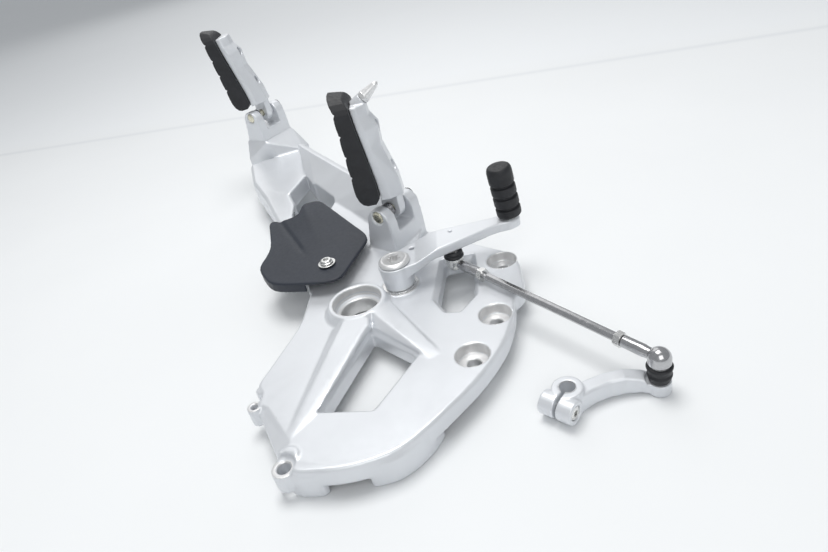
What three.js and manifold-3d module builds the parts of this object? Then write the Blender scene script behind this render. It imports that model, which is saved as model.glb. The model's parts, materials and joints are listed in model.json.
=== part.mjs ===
// Left-hand footrest hanger of a motorcycle, complete: the cast hanger with its pillion arm, a folding rider
// peg and a folding pillion peg, the heel guard, and the gear lever with its link rod and selector arm.
//
// It lies on its inner side. Z points outward from the motorcycle, -X is up and +Y is rearward when it is
// fitted. Inside this file the datum is the axis of the large pivot bore on the plate's outer face (z = 0);
// the last lines move the origin to the middle of the base of the whole assembly. All sizes are millimetres.

import * as THREE from "three";
import { ConvexGeometry } from "three/addons/geometries/ConvexGeometry.js";
import { mergeVertices } from "three/addons/utils/BufferGeometryUtils.js";
import Module from "manifold-3d";

// ---------------------------------------------------------------- driving dimensions

const GAP = 0.3; // clearance kept between two pieces that touch
const BASE_Z = -25; // plane that the assembly lies on

const PLATE_BACK_Z = -16;
const FACE_THICKNESS = 5;
const WALL = 4.4;

const BORE = { x: 3.1, y: -11.9, top: 8, r: 20.5, stepR: 16, stepZ: -2, rimR: 24.5, footR: 29 };
const BOLT_HOLES = [
  [126.3, 21.3],
  [112.9, -51.5],
  [92.2, -93.8],
];
const BOLT = { counterboreR: 12.5, counterboreDepth: 9, holeR: 5.5, bossR: 17 };

const SMALL_TAB = { x: -67.5, y: -110, r: 5.6, holeR: 2.7, top: -1 };
const LARGE_TAB = { x: -35.9, y: -168, r: 8.6, holeR: 4.8, top: -4 };
const TAB_FOOT_Z = -19;

const PIN_TURN = THREE.MathUtils.degToRad(-36.5); // the peg hinges' frame about Z; its Y is the pin axis
const RIDER_PIN = [38.3, 83, 39.3];
const PILLION_PIN = [-132.7, 359, 71.3];
const PILLION_LEAN = THREE.MathUtils.degToRad(-5.8); // about Y, towards -X
const CLEVIS = { halfLength: 23, slotFrom: -12, slotTo: 11, slotFloor: -17, foot: -31 };
const EAR = [
  [13.9, -31],
  [12.8, -4],
  [11.2, 2],
  [6.5, 6.4],
  [0, 7.6],
  [-6.5, 6.4],
  [-11.5, 1],
  [-19.4, -31],
];
const PIN = { r: 4, headR: 5.6, headHeight: 2.2, holeR: 4.35, recessR: 6.3, recessDepth: 2.6, clipR: 6.4 };

const PAD = { soleX: -26.3, backLowX: -6.5, backTopX: -13.5, bottomZ: 13.8, topZ: 112.5, halfWidth: 19.5 };
const SCALLOPS = { count: 4, first: 25.3, pitch: 18.7 };

const LEVER_PIVOT = [38.5, 10];
const LEVER_END = [140, 41];
const LEVER_BALL = [87.5, 19.3, 8];
const ARM_BALL = [210.2, -130.2, 3];
const ARM_CLAMP = [150.5, -133];
const BALL = { r: 4.8, socketR: 5.15, housingR: 7.6, mouthR: 4.3 };

// ---------------------------------------------------------------- solid helpers

const wasm = await Module();
wasm.setup();

const vec = (x, y, z = 0) => new THREE.Vector3(x, y, z);

// A closed three.js geometry as a manifold-3d solid.
function solid(geometry) {
  const bare = new THREE.BufferGeometry();
  const loose = geometry.index ? geometry.toNonIndexed() : geometry;
  bare.setAttribute("position", loose.getAttribute("position"));
  const merged = mergeVertices(bare, 1e-4);
  const mesh = new wasm.Mesh({
    numProp: 3,
    vertProperties: merged.attributes.position.array,
    triVerts: new Uint32Array(merged.index.array),
  });
  return new wasm.Manifold(mesh);
}

const union = (...parts) => parts.flat().reduce((sum, part) => sum.add(part));
const cut = (body, ...tools) => tools.flat().reduce((rest, tool) => rest.subtract(tool), body);

// Flat outline through points [x, y, radius]; each corner is rounded by its own radius or the common one.
function roundedShape(points, radius = 3) {
  const shape = new THREE.Shape();
  points.forEach(([x, y, own = radius], i) => {
    const corner = new THREE.Vector2(x, y);
    const before = new THREE.Vector2(...points.at(i - 1).slice(0, 2)).sub(corner);
    const after = new THREE.Vector2(...points[(i + 1) % points.length].slice(0, 2)).sub(corner);
    const start = before.clone().setLength(Math.min(own, before.length() * 0.45)).add(corner);
    const end = after.clone().setLength(Math.min(own, after.length() * 0.45)).add(corner);
    if (i === 0) shape.moveTo(start.x, start.y);
    else shape.lineTo(start.x, start.y);
    shape.quadraticCurveTo(x, y, end.x, end.y);
  });
  shape.closePath();
  return shape;
}

// The same outline moved inward by a distance; points run counter-clockwise.
function inset(points, distance) {
  return points.map(([x, y, r], i) => {
    const corner = new THREE.Vector2(x, y);
    const from = new THREE.Vector2(...points.at(i - 1).slice(0, 2));
    const to = new THREE.Vector2(...points[(i + 1) % points.length].slice(0, 2));
    const d1 = corner.clone().sub(from).normalize();
    const d2 = to.clone().sub(corner).normalize();
    const normal = new THREE.Vector2(-d1.y - d2.y, d1.x + d2.x).normalize();
    const miter = distance / Math.max(0.4, normal.dot(new THREE.Vector2(-d1.y, d1.x)));
    return [x + normal.x * miter, y + normal.y * miter, r];
  });
}

// A shape between two heights, with an optional chamfer round both faces.
function prism(shape, z0, z1, chamfer = 0, curveSegments = 3) {
  const geometry = new THREE.ExtrudeGeometry(shape, {
    depth: z1 - z0 - 2 * chamfer,
    bevelEnabled: chamfer > 0,
    bevelThickness: chamfer,
    bevelSize: chamfer,
    bevelOffset: -chamfer,
    bevelSegments: 1,
    curveSegments,
  });
  return solid(geometry.translate(0, 0, z0 + chamfer));
}

// Upright round bar or cone; y is the centre's second coordinate.
function disc(x, y, z0, z1, r, topR = r, sides = 20) {
  const geometry = new THREE.CylinderGeometry(topR, r, z1 - z0, sides).rotateX(Math.PI / 2);
  return solid(geometry.translate(x, y, (z0 + z1) / 2));
}

// Round bar along local Y, between two stations of Y.
function bar(x, z, y0, y1, r, endR = r, sides = 16) {
  return solid(new THREE.CylinderGeometry(endR, r, y1 - y0, sides).translate(x, (y0 + y1) / 2, z));
}

// Round bar between any two points.
function rod(from, to, r, endR = r, sides = 12) {
  const a = vec(...from);
  const b = vec(...to);
  const along = b.clone().sub(a);
  const turn = new THREE.Quaternion().setFromUnitVectors(vec(0, 1, 0), along.clone().normalize());
  const geometry = new THREE.CylinderGeometry(endR, r, along.length(), sides).applyQuaternion(turn);
  const middle = a.add(b).multiplyScalar(0.5);
  return solid(geometry.translate(middle.x, middle.y, middle.z));
}

const ball = (x, y, z, r, around = 12, down = 8) =>
  solid(new THREE.SphereGeometry(r, around, down).translate(x, y, z));

const box = (x0, x1, y0, y1, z0, z1) =>
  solid(
    new THREE.BoxGeometry(x1 - x0, y1 - y0, z1 - z0).translate((x0 + x1) / 2, (y0 + y1) / 2, (z0 + z1) / 2),
  );

const hull = (points) => solid(new ConvexGeometry(points.map((p) => vec(...p))));

const circle = (x, y, z, r, count = 12) =>
  Array.from({ length: count }, (_, i) => {
    const a = (2 * Math.PI * i) / count;
    return [x + r * Math.cos(a), y + r * Math.sin(a), z];
  });

const atHeight = (points, z) => points.map(([x, y]) => [x, y, z]);

// Revolved solid about Z; the profile is [radius, z] from the lower end on the axis to the upper end.
function turned(x, y, profile, sides = 24) {
  const points = profile.map(([r, z]) => new THREE.Vector2(r, z));
  return solid(new THREE.LatheGeometry(points, sides).rotateX(Math.PI / 2).translate(x, y, 0));
}

const FINISHES = {
  silver: { color: 0xc9cdd2, roughness: 0.42, metalness: 0.55 },
  aluminium: { color: 0xd4d6d8, roughness: 0.35, metalness: 0.9 },
  steel: { color: 0xa9abad, roughness: 0.28, metalness: 1.0 },
  darkSteel: { color: 0x4a4b4e, roughness: 0.4, metalness: 0.9 },
  plastic: { color: 0x33353a, roughness: 0.55, metalness: 0.0 },
  rubber: { color: 0x17181a, roughness: 0.8, metalness: 0.0 },
  bronze: { color: 0x9a7b4a, roughness: 0.45, metalness: 0.8 },
};

// A named mesh of one finish, made from a manifold-3d solid.
function piece(name, finish, body) {
  const { vertProperties, triVerts, numProp, numVert } = body.getMesh();
  const positions = new Float32Array(numVert * 3);
  for (let i = 0; i < numVert; i++) {
    positions.set(vertProperties.subarray(i * numProp, i * numProp + 3), i * 3);
  }
  const geometry = new THREE.BufferGeometry();
  geometry.setAttribute("position", new THREE.BufferAttribute(positions, 3));
  geometry.setIndex(new THREE.BufferAttribute(triVerts, 1));
  geometry.computeVertexNormals();
  const mesh = new THREE.Mesh(geometry, new THREE.MeshStandardMaterial(FINISHES[finish]));
  mesh.name = name;
  return mesh;
}

// ---------------------------------------------------------------- hanger casting

const PLATE_OUTLINE = [
  [-44, 40, 8],
  [-47, -21, 14],
  [-58, -53, 14],
  [-70, -88, 4],
  [-64, -99, 3],
  [-65.5, -112, 4],
  [-43, -157, 4],
  [-28, -176.5, 6],
  [6, -180, 14],
  [40, -173, 22],
  [64, -152, 22],
  [98, -115, 16],
  [118, -84, 16],
  [128, -52, 14],
  [130, -34, 3],
  [140, -24, 8],
  [141, 17, 10],
  [133, 34, 9],
  [96, 66, 16],
  [66, 97, 8],
  [40, 100, 8],
  [10, 60, 8],
];

// Deep feet under the lower lobe, which the plate stands on.
const FOOT_OUTLINES = [
  [
    [-43, -157, 6],
    [-43, -168, 4],
    [-28, -177, 5],
    [-12, -178.5, 3],
    [-6, -170, 3],
    [-18, -152, 6],
  ],
  [
    [17, -177, 4],
    [34, -176, 10],
    [48, -168, 14],
    [63, -152, 12],
    [73, -128, 8],
    [56, -124, 6],
    [26, -150, 10],
  ],
];

const LARGE_WINDOW = [
  [15, -46, 3],
  [-16, -124, 4],
  [21, -130, 5],
  [51, -82, 4],
];
const SMALL_WINDOW = [
  [77, 36, 4],
  [69, -18, 4],
  [77, -35, 4],
  [85, -37, 4],
  [98, -20, 5],
  [101, 2, 4],
  [101, 36, 4],
];

// Ribs that run down from the boss of the pivot bore; each list is a convex solid.
const LEFT_RIB = [
  [-17, -36, 0],
  [-37, -144, 0],
  [-5, -33, 7.6],
  [15, -37, 7.6],
  [16.2, -52, 5.5],
  [-14.6, -122, 1.2],
  [-33.5, -147, 0.2],
];
const RIGHT_RIB = [
  [17.5, -44, 1],
  [52, -79, 0],
  [18.2, -33, 7.6],
  [40, -62, 4.6],
  [61, -90, 0.3],
  [27, -24, 7.6],
  [70, -86, 0.2],
  [31, -16, 6],
];

// Each leg of the pillion arm is a row of sections: centre, half width, underside and top.
const LEFT_LEG = [
  { x: -30, y: 36, half: 12, z0: -16, z1: 0 },
  { x: -52, y: 96, half: 13, z0: -24.8, z1: 9 },
  { x: -83, y: 156, half: 13, z0: -20, z1: 16 },
  { x: -105, y: 212, half: 14, z0: -12, z1: 19 },
  { x: -127, y: 262, half: 17, z0: -6, z1: 20 },
  { x: -139, y: 322, half: 22, z0: 0, z1: 20 },
];
// The right leg carries a ridge: inner foot line, ridge line, and the underside below both.
const RIGHT_LEG = [
  { foot: [6, 112, 10], crest: [43, 96, 37], z0: -22 },
  { foot: [-11, 138, 15], crest: [9.8, 146.6, 37.5], z0: -18 },
  { foot: [-32, 164, 18], crest: [-17, 190, 37.5], z0: -14 },
  { foot: [-59, 209, 20], crest: [-46.4, 238, 37.5], z0: -9 },
  { foot: [-77, 252, 20], crest: [-71.8, 279, 37.5], z0: -4 },
  { foot: [-92, 338, 20], crest: [-90, 309, 37.5], z0: 0 },
];
// Foot of the block that carries the pillion hinge.
const PEDESTAL_PLAN = [
  [-166, 340],
  [-124, 330],
  [-91, 338],
  [-87, 352],
  [-108, 380],
  [-134, 396],
  [-162, 378],
];
const CREST_WIDTH = [6, 3.7];

// The web between the legs, below the heel guard: its top rises from the plate towards the arm.
const ROOT_PLAN = [
  [-46, 26],
  [40, 26],
  [60, 88],
  [12, 116],
  [-32, 163],
  [-62, 140],
  [-66, 110],
];
const ROOT_SLOPE = 0.132;
const rootTop = (y) => Math.max(0, (y - 26) * ROOT_SLOPE);
const ARM_OPENING = [
  [-58, 132, 8],
  [-78, 150, 8],
  [-81, 200, 10],
  [-74, 218, 8],
  [-62, 219, 8],
  [-31, 168, 6],
  [-36, 150, 8],
];

function legSections(leg, inward = 0) {
  return leg.map(({ x, y, half, z0, z1 }, i) => {
    const next = leg[i + 1] ?? leg[i];
    const last = leg[i - 1] ?? leg[i];
    const along = new THREE.Vector2(next.x - last.x, next.y - last.y).normalize();
    const side = [-along.y * (half - inward), along.x * (half - inward)];
    const edge = inward ? 0 : 3;
    const nearer = 1 - edge / half;
    return [
      [x + side[0], y + side[1], inward ? z0 - 9 : z0],
      [x - side[0], y - side[1], inward ? z0 - 9 : z0],
      [x + side[0], y + side[1], z1 - edge - inward],
      [x - side[0], y - side[1], z1 - edge - inward],
      [x + side[0] * nearer, y + side[1] * nearer, z1 - inward],
      [x - side[0] * nearer, y - side[1] * nearer, z1 - inward],
    ];
  });
}

// Section of the ridged leg; inward shrinks it evenly to give the hollow inside.
function ridgeSection({ foot, crest, z0 }, inward = 0) {
  const [outX, outY] = CREST_WIDTH;
  const out = new THREE.Vector2(outX, outY).normalize().multiplyScalar(inward);
  const low = inward ? z0 - 9 : z0;
  return [
    [foot[0] + 1.6 * out.x, foot[1] + 1.6 * out.y, low],
    [foot[0] + 1.6 * out.x, foot[1] + 1.6 * out.y, foot[2] - inward],
    [crest[0] + 0.4 * out.x, crest[1] + 0.4 * out.y, crest[2] - 1.6 * inward],
    [crest[0] + outX - out.x, crest[1] + outY - out.y, crest[2] - 2 - 1.6 * inward],
    [crest[0] + outX - out.x, crest[1] + outY - out.y, low],
  ];
}

// Convex pieces between neighbouring sections, each a little longer than its gap so that they fuse.
function chain(sections) {
  return sections.slice(1).map((section, i) => {
    const points = [...sections[i], ...section].map((p) => vec(...p));
    const centre = points.reduce((sum, p) => sum.add(p), vec(0, 0, 0)).divideScalar(points.length);
    return hull(points.map((p) => p.sub(centre).multiplyScalar(1.004).add(centre).toArray()));
  });
}

// A point of a hinge frame (its Y along the pin) in the hanger's own axes.
function fromHinge([px, py, pz], [x, y, z]) {
  const p = vec(x, y, z).applyAxisAngle(vec(0, 0, 1), PIN_TURN);
  return [px + p.x, py + p.y, pz + p.z];
}

const intoHinge = (pin, body) =>
  body.rotate([0, 0, THREE.MathUtils.radToDeg(PIN_TURN)]).translate(pin);

// The two ears of a peg hinge on their block, in the hinge's frame; floor is the block's underside.
function clevisBlock(floor) {
  const { halfLength, foot } = CLEVIS;
  const ears = hull([-halfLength, halfLength].flatMap((y) => EAR.map(([x, z]) => [x, y, z])));
  const block = box(-19.4, 13.9, -halfLength, halfLength, floor, foot + 1);
  return union(ears, block);
}

function clevisCuts() {
  const { halfLength, slotFrom, slotTo, slotFloor } = CLEVIS;
  return [
    box(-30, 30, slotFrom, slotTo, slotFloor, 30),
    bar(0, 0, -halfLength - 1, halfLength + 1, PIN.holeR),
    bar(0, 0, -halfLength - 1, -halfLength + PIN.recessDepth, PIN.recessR),
  ];
}

const expand = (points, d) => inset(points, -d);
const windowCut = (points, z0) => prism(roundedShape(points, 3), z0, 30);

// Chamfered lip of a window: wider by its width at the face, nothing at its depth.
function windowLip(points, width, depth) {
  const wide = atHeight(expand(points, width), 0.4);
  return hull([...wide, ...atHeight(points, -depth)]);
}

function hangerCasting() {
  const plate = prism(roundedShape(PLATE_OUTLINE), PLATE_BACK_Z, 0, 1.6);
  const feet = FOOT_OUTLINES.map((outline) => prism(roundedShape(outline), BASE_Z, -4, 1.2));
  const boss = disc(BORE.x, BORE.y, -2, BORE.top, BORE.footR, BORE.rimR, 40);
  const ribs = [LEFT_RIB, RIGHT_RIB].map((rib) => hull([...rib, ...atHeight(rib, -3)]));
  const tabs = [
    disc(SMALL_TAB.x, SMALL_TAB.y, PLATE_BACK_Z, SMALL_TAB.top, SMALL_TAB.r),
    disc(LARGE_TAB.x, LARGE_TAB.y, TAB_FOOT_Z, LARGE_TAB.top, LARGE_TAB.r),
    disc(-66, -93, PLATE_BACK_Z, -1, 4.2, 4.2, 14),
    disc(-32.5, -162, -8, 1.5, 7),
  ];
  const bossPad = disc(...LEVER_PIVOT, -3, LEVER.padTop, 17, 16, 28);

  const root = hull([
    ...atHeight(ROOT_PLAN, PLATE_BACK_Z),
    ...ROOT_PLAN.map(([x, y]) => [x, y, rootTop(y)]),
  ]);
  const leftLeg = chain(legSections(LEFT_LEG));
  const rightLeg = chain(RIGHT_LEG.map((s) => ridgeSection(s)));
  const plateau = hull([
    ...[0, 19.6].flatMap((z) => [
      [-147, 326, z],
      [-90, 336, z],
      [-76, 249, z],
      [-88, 206, z],
      [-112, 222, z],
      [-140, 286, z],
    ]),
  ]);
  const pedestal = hull([
    ...atHeight(PEDESTAL_PLAN, 0),
    ...atHeight(PEDESTAL_PLAN, 20),
    ...[-21, 15.5].flatMap((x) => [-24, 24].map((y) => fromHinge(PILLION_PIN, [x, y, CLEVIS.foot]))),
  ]);

  const sloped = cut(plate, tabBandCut());
  const shell = union(sloped, feet, root, leftLeg, rightLeg, plateau, pedestal, tabs);
  const hollowed = cut(shell, hangerHollow());

  const details = union(
    boss,
    ribs,
    bossPad,
    intoHinge(RIDER_PIN, clevisBlock(BASE_Z - RIDER_PIN[2])),
    intoHinge(PILLION_PIN, clevisBlock(-52)),
  );
  const cuts = [
    hingeRooms(),
    disc(BORE.x, BORE.y, BORE.stepZ, 20, BORE.r, BORE.r, 40),
    disc(BORE.x, BORE.y, -40, 20, BORE.stepR, BORE.stepR, 40),
    windowCut(LARGE_WINDOW, -40),
    windowLip(LARGE_WINDOW, 4, 4),
    windowCut(SMALL_WINDOW, -40),
    windowLip(SMALL_WINDOW, 4.5, 5),
    prism(roundedShape(ARM_OPENING), -40, 30),
    disc(...LEVER_PIVOT, -40, 10, 5.4),
    disc(...LEVER_PIVOT, LEVER.padTop, 30, 17, 17, 32),
    intoHinge(RIDER_PIN, union(clevisCuts())),
    intoHinge(PILLION_PIN, union(clevisCuts())),
    disc(...HEEL_SCREW, -40, 30, 3.3, 3.3, 16),
    [SMALL_TAB, LARGE_TAB].map(({ x, y, holeR }) => disc(x, y, -40, 10, holeR, holeR, 16)),
    disc(LARGE_TAB.x, LARGE_TAB.y, LARGE_TAB.top, 10, LARGE_TAB.r, LARGE_TAB.r, 20),
    BOLT_HOLES.flatMap(([x, y]) => [
      disc(x, y, -BOLT.counterboreDepth, 10, BOLT.counterboreR, BOLT.counterboreR, 32),
      disc(x, y, -40, 10, BOLT.holeR, BOLT.holeR, 20),
    ]),
  ];
  return cut(union(hollowed, details), cuts.flat(2));
}

// Rooms inside the two hinge blocks, open towards the motorcycle.
const hingeRooms = () => [
  intoHinge(RIDER_PIN, box(-15, 9.5, -18, 18, -90, CLEVIS.foot - 8)),
  hull([...atHeight(inset(PEDESTAL_PLAN, 6), -10), ...atHeight(inset(PEDESTAL_PLAN, 9), 13)]),
  intoHinge(PILLION_PIN, box(-14, 9, -17, 17, -60, CLEVIS.foot - 6)),
];

// Sloped band along the plate's edge between the two tabs.
function tabBandCut() {
  const inner = [
    [-56, -114],
    [-33, -151],
  ];
  const outer = [
    [-68, -107.5],
    [-45, -159],
  ];
  return hull([
    ...atHeight(inner, 0),
    ...atHeight(outer, -5),
    ...atHeight(inner, 4),
    ...atHeight(outer, 4),
  ]);
}

// Everything that the casting leaves open on its inner side: a shell with walls, bosses and ribs.
function hangerHollow() {
  const ceiling = -FACE_THICKNESS;
  const room = union(
    prism(roundedShape(inset(PLATE_OUTLINE, WALL)), -40, ceiling),
    FOOT_OUTLINES.map((outline) => prism(roundedShape(inset(outline, 4)), -40, ceiling)),
  );
  const armRoom = union(
    hull([
      ...atHeight(inset([...ROOT_PLAN].reverse(), -WALL), -40),
      ...inset([...ROOT_PLAN].reverse(), -WALL).map(([x, y]) => [x, y, rootTop(y) - FACE_THICKNESS]),
    ]),
    chain(legSections(LEFT_LEG, WALL)),
    chain(RIGHT_LEG.map((s) => ridgeSection(s, WALL))),
  );
  const kept = union(
    BOLT_HOLES.map(([x, y]) => disc(x, y, -40, 0, BOLT.bossR)),
    disc(BORE.x, BORE.y, -40, 0, BORE.footR, BORE.footR, 32),
    disc(...LEVER_PIVOT, -40, 0, 14),
    disc(...HEEL_SCREW, -40, 30, 8),
    [SMALL_TAB, LARGE_TAB].map(({ x, y, r }) => disc(x, y, -40, 0, r)),
    [LARGE_WINDOW, SMALL_WINDOW].map((w) => prism(roundedShape(expand(w, WALL)), -40, 0)),
    cut(prism(roundedShape(expand(ARM_OPENING, WALL)), -40, 30), box(-110, -20, 195, 240, -60, 13)),
    STIFFENERS.map(([x0, y0, x1, y1]) => wall(x0, y0, x1, y1)),
  );
  const plateau = [[-140, 322], [-96, 330], [-82, 252], [-90, 222], [-108, 232], [-134, 286]];
  const plateauRoom = hull([...atHeight(plateau, -10), ...atHeight(plateau, 14)]);
  return cut(union(room, armRoom, plateauRoom), kept);
}

const HEEL_SCREW = [-26.3, 42.2];
const HEEL_SCREW_SIZE = { r: 2.9, length: 20, headR: 5.4, headHeight: 3, driveR: 2.3 };

// Thin ribs that cross the hollow inner side.
const STIFFENERS = [
  [BORE.x, BORE.y, -50, -60],
  [BORE.x, BORE.y, -40, 40],
  [-14, -128, -36, -166],
  [22, -132, 56, -155],
  [52, -84, 92, -94],
  [85, -34, 96, -90],
  [100, 0, 126, 21],
  [38, 10, 70, -20],
  [38, 10, 50, 80],
  [-16, -110, -66, -100],
];

function wall(x0, y0, x1, y1, thickness = 4) {
  const along = new THREE.Vector2(x1 - x0, y1 - y0);
  const geometry = new THREE.BoxGeometry(along.length(), thickness, 60).rotateZ(along.angle());
  return solid(geometry.translate((x0 + x1) / 2, (y0 + y1) / 2, -10));
}

// ---------------------------------------------------------------- heel guard

const GUARD_OUTLINE = [
  [-63, 159, 8],
  [-46, 160, 8],
  [6.4, 84, 7],
  [10, 71, 6],
  [-12, 16.6, 9],
  [-30, 16, 3],
  [-62, 23, 12],
  [-80, 30, 12],
  [-95, 58, 9],
  [-87, 86, 14],
  [-99, 140, 8],
  [-80, 137, 8],
  [-67, 139, 5],
];
const GUARD = { thickness: 3, lipDepth: 10, slope: 0.06, base: 13 };
const guardTop = (y) => GUARD.base + GUARD.slope * y;

function heelGuard() {
  const sheet = prism(roundedShape(GUARD_OUTLINE), -GUARD.thickness, 0, 0.9);
  const rim = cut(
    prism(roundedShape(GUARD_OUTLINE), -GUARD.lipDepth, -1.2, 0.5),
    prism(roundedShape(inset([...GUARD_OUTLINE].reverse(), 2.6)), -20, 1),
    box(-45, 60, 0, 200, -20, -GUARD.thickness + 0.4),
    box(-200, 60, 70, 200, -20, -GUARD.thickness + 0.4),
  );
  const seat = disc(HEEL_SCREW[0], HEEL_SCREW[1], -8, -1, 8);
  const body = union(sheet, rim, seat);
  const hole = disc(HEEL_SCREW[0], HEEL_SCREW[1], -20, 5, 3.3, 3.3, 16);
  const tilt = Math.atan(GUARD.slope);
  return cut(body, hole).rotate([THREE.MathUtils.radToDeg(tilt), 0, 0]).translate([0, 0, GUARD.base]);
}

function screwWithHead(x, y, seat, { r, length, headR, headHeight, driveR }) {
  const shank = disc(x, y, seat - length, seat + 0.5, r, r, 16);
  const head = disc(x, y, seat, seat + headHeight, headR, headR * 0.82, 24);
  const drive = disc(x, y, seat + headHeight - 1.4, seat + headHeight + 1, driveR, driveR, 6);
  return cut(union(shank, head), drive);
}

// ---------------------------------------------------------------- pegs

// Side profile of the rubber pad in the XZ plane; the sole carries the scallops.
function padProfile() {
  const { soleX, backLowX, backTopX, bottomZ, topZ } = PAD;
  const { count, first, pitch } = SCALLOPS;
  const shape = new THREE.Shape();
  shape.moveTo(backLowX - 4, bottomZ);
  shape.lineTo(soleX + 8, bottomZ);
  shape.quadraticCurveTo(soleX + 1.5, bottomZ + 1, soleX, first);
  for (let i = 0; i < count; i++) {
    const z = first + i * pitch;
    shape.quadraticCurveTo(soleX - 0.6, z + pitch * 0.5, soleX + 0.2, z + pitch - 3);
    shape.lineTo(soleX + 2, z + pitch - 1.2);
    shape.lineTo(soleX + 0.3, z + pitch);
  }
  shape.quadraticCurveTo(soleX - 4, topZ - 3, soleX - 3.2, topZ);
  shape.lineTo(soleX + 8.5, topZ - 4);
  shape.quadraticCurveTo(backTopX - 2, topZ - 5, backTopX, topZ - 11);
  shape.lineTo(backLowX, bottomZ + 19);
  shape.lineTo(backLowX, bottomZ + 5);
  shape.closePath();
  return shape;
}

// Lay an XZ profile out along Y, centred on y = 0.
function acrossY(shape, width, chamfer = 0, curveSegments = 3) {
  const flat = prism(shape, -width / 2, width / 2, chamfer, curveSegments);
  return flat.rotate([90, 0, 0]);
}

const padBackX = (z) => {
  const share = THREE.MathUtils.clamp((z - PAD.bottomZ - 19) / (PAD.topZ - 30 - PAD.bottomZ), 0, 1);
  return THREE.MathUtils.lerp(PAD.backLowX, PAD.backTopX, share);
};

// Sections of the cast peg body behind the pad: height, back of the section, half width.
const PEG_SECTIONS = [
  { z: 14, back: 14, half: 14 },
  { z: 31, back: 13, half: 15 },
  { z: 62, back: 5.4, half: 15 },
  { z: 80, back: 6.4, half: 15 },
  { z: 90, back: 0.6, half: 14 },
  { z: 100, back: 0.2, half: 12 },
];
const PAD_SCREWS = [
  ["lower", 40],
  ["upper", 78],
];

function pegBody(feeler, lean) {
  const sections = PEG_SECTIONS.map(({ z, back, half }) => {
    const front = padBackX(z) + GAP;
    return [-1, 1].flatMap((side) => [
      [front, side * half, z],
      [front + (back - front) * 0.4, side * half, z],
      [back, side * half * 0.5, z],
    ]);
  });
  const lug = hull([-2.5, 6].flatMap((y) => pegLugSection(y)));
  const inFrame = (body) => body.rotate([0, 0, THREE.MathUtils.radToDeg(PIN_TURN)]);
  const bossAtTip = rod([-9.6, 0, 97], [-1.4, 0, 102.7], 6.4, 5.8);
  const leaning = (body) => body.rotate([0, THREE.MathUtils.radToDeg(lean), 0]);
  const pockets = PAD_SCREWS.map(([, z]) =>
    union(sideBar(z, 2.8, -16, 20), sideBar(z, 5.2, padBackX(z) + 5, 20)),
  );
  const tip = feeler ? [rod(onFeeler(-7.5), onFeeler(9), 3.3)] : [];
  const blade = leaning(cut(union(chain(sections), feeler ? bossAtTip : []), pockets, tip));
  const neck = box(1.2, 10.6, -2.5, 6, 8, 19);
  const hinge = inFrame(union(lug, neck, bar(0, 0, -2.8, 10.6, 7.2)));
  return cut(union(blade, hinge), inFrame(bar(0, 0, -20, 20, PIN.holeR)));
}

// Outline of the peg's lug at one station along the pin.
function pegLugSection(y) {
  const round = Array.from({ length: 11 }, (_, i) => {
    const a = Math.PI + (Math.PI * i) / 10;
    return [10.6 * Math.cos(a), y, 10.6 * Math.sin(a)];
  });
  return [...round, [-9, y, 12.2], [10.6, y, 13]];
}

// Round bar along X at height z.
function sideBar(z, r, x0, x1) {
  return rod([x0, 0, z], [x1, 0, z], r, r, 16);
}

// The pad seen from its sole: straight sides and a pointed, rounded outer end.
function padPlan() {
  const { halfWidth, bottomZ, topZ } = PAD;
  const shape = new THREE.Shape();
  const shoulder = topZ - 15;
  shape.moveTo(-halfWidth - 1, bottomZ - 5);
  shape.lineTo(halfWidth + 1, bottomZ - 5);
  shape.lineTo(halfWidth, shoulder);
  shape.bezierCurveTo(halfWidth - 1, topZ - 8, halfWidth * 0.35, topZ + 0.6, 0, topZ + 0.6);
  shape.bezierCurveTo(-halfWidth * 0.35, topZ + 0.6, 1 - halfWidth, topZ - 8, -halfWidth, shoulder);
  shape.closePath();
  return prism(shape, -40, 10, 0, 5).rotate([90, 0, 0]).rotate([0, 0, 90]);
}

function padSolid() {
  const block = acrossY(padProfile(), 2 * PAD.halfWidth).intersect(padPlan());
  const holes = PAD_SCREWS.map(([, z]) => sideBar(z, 2.8, padBackX(z) - 9, 12));
  return cut(block, holes);
}

function padScrew(z) {
  const seat = padBackX(z) + 5 + GAP;
  return cut(
    union(sideBar(z, 2.4, seat - 13, seat + 0.5), sideBar(z, 4.6, seat, seat + 3)),
    rod([seat + 1.4, 0, z], [seat + 4, 0, z], 2.2, 2.2, 6),
  );
}

// A point on the axis of the wear bolt at the peg's outer end.
const onFeeler = (d) => [-5.2 + 0.82 * d, 0, 100 + 0.574 * d];

function feelerBolt() {
  return union(
    rod(onFeeler(-7), onFeeler(6), 2.9, 2.9, 12),
    rod(onFeeler(5.2), onFeeler(8.4), 5.8, 5.8, 6),
    rod(onFeeler(8), onFeeler(21), 5, 2.6, 14),
    ball(...onFeeler(20.8), 2.6, 12, 8),
  );
}

// ---------------------------------------------------------------- hinge pins and their parts

function pegPin() {
  const { halfLength } = CLEVIS;
  const headEnd = -halfLength + PIN.recessDepth - GAP;
  const shank = bar(0, 0, -halfLength + 0.2, halfLength + 4, PIN.r);
  const head = bar(0, 0, headEnd - PIN.headHeight, headEnd, PIN.headR);
  const groove = cut(
    bar(0, 0, halfLength + 1, halfLength + 2.4, PIN.r + 2),
    bar(0, 0, halfLength, halfLength + 3, PIN.r - 1),
  );
  return cut(union(shank, head), groove);
}

function pinClip() {
  const y0 = CLEVIS.halfLength + 1 + 0.15;
  const ring = cut(bar(0, 0, y0, y0 + 1.1, PIN.clipR), bar(0, 0, y0 - 1, y0 + 2, PIN.r - 1 + 0.25));
  return cut(ring, box(-2.6, 2.6, y0 - 1, y0 + 2, 0, 12));
}

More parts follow.
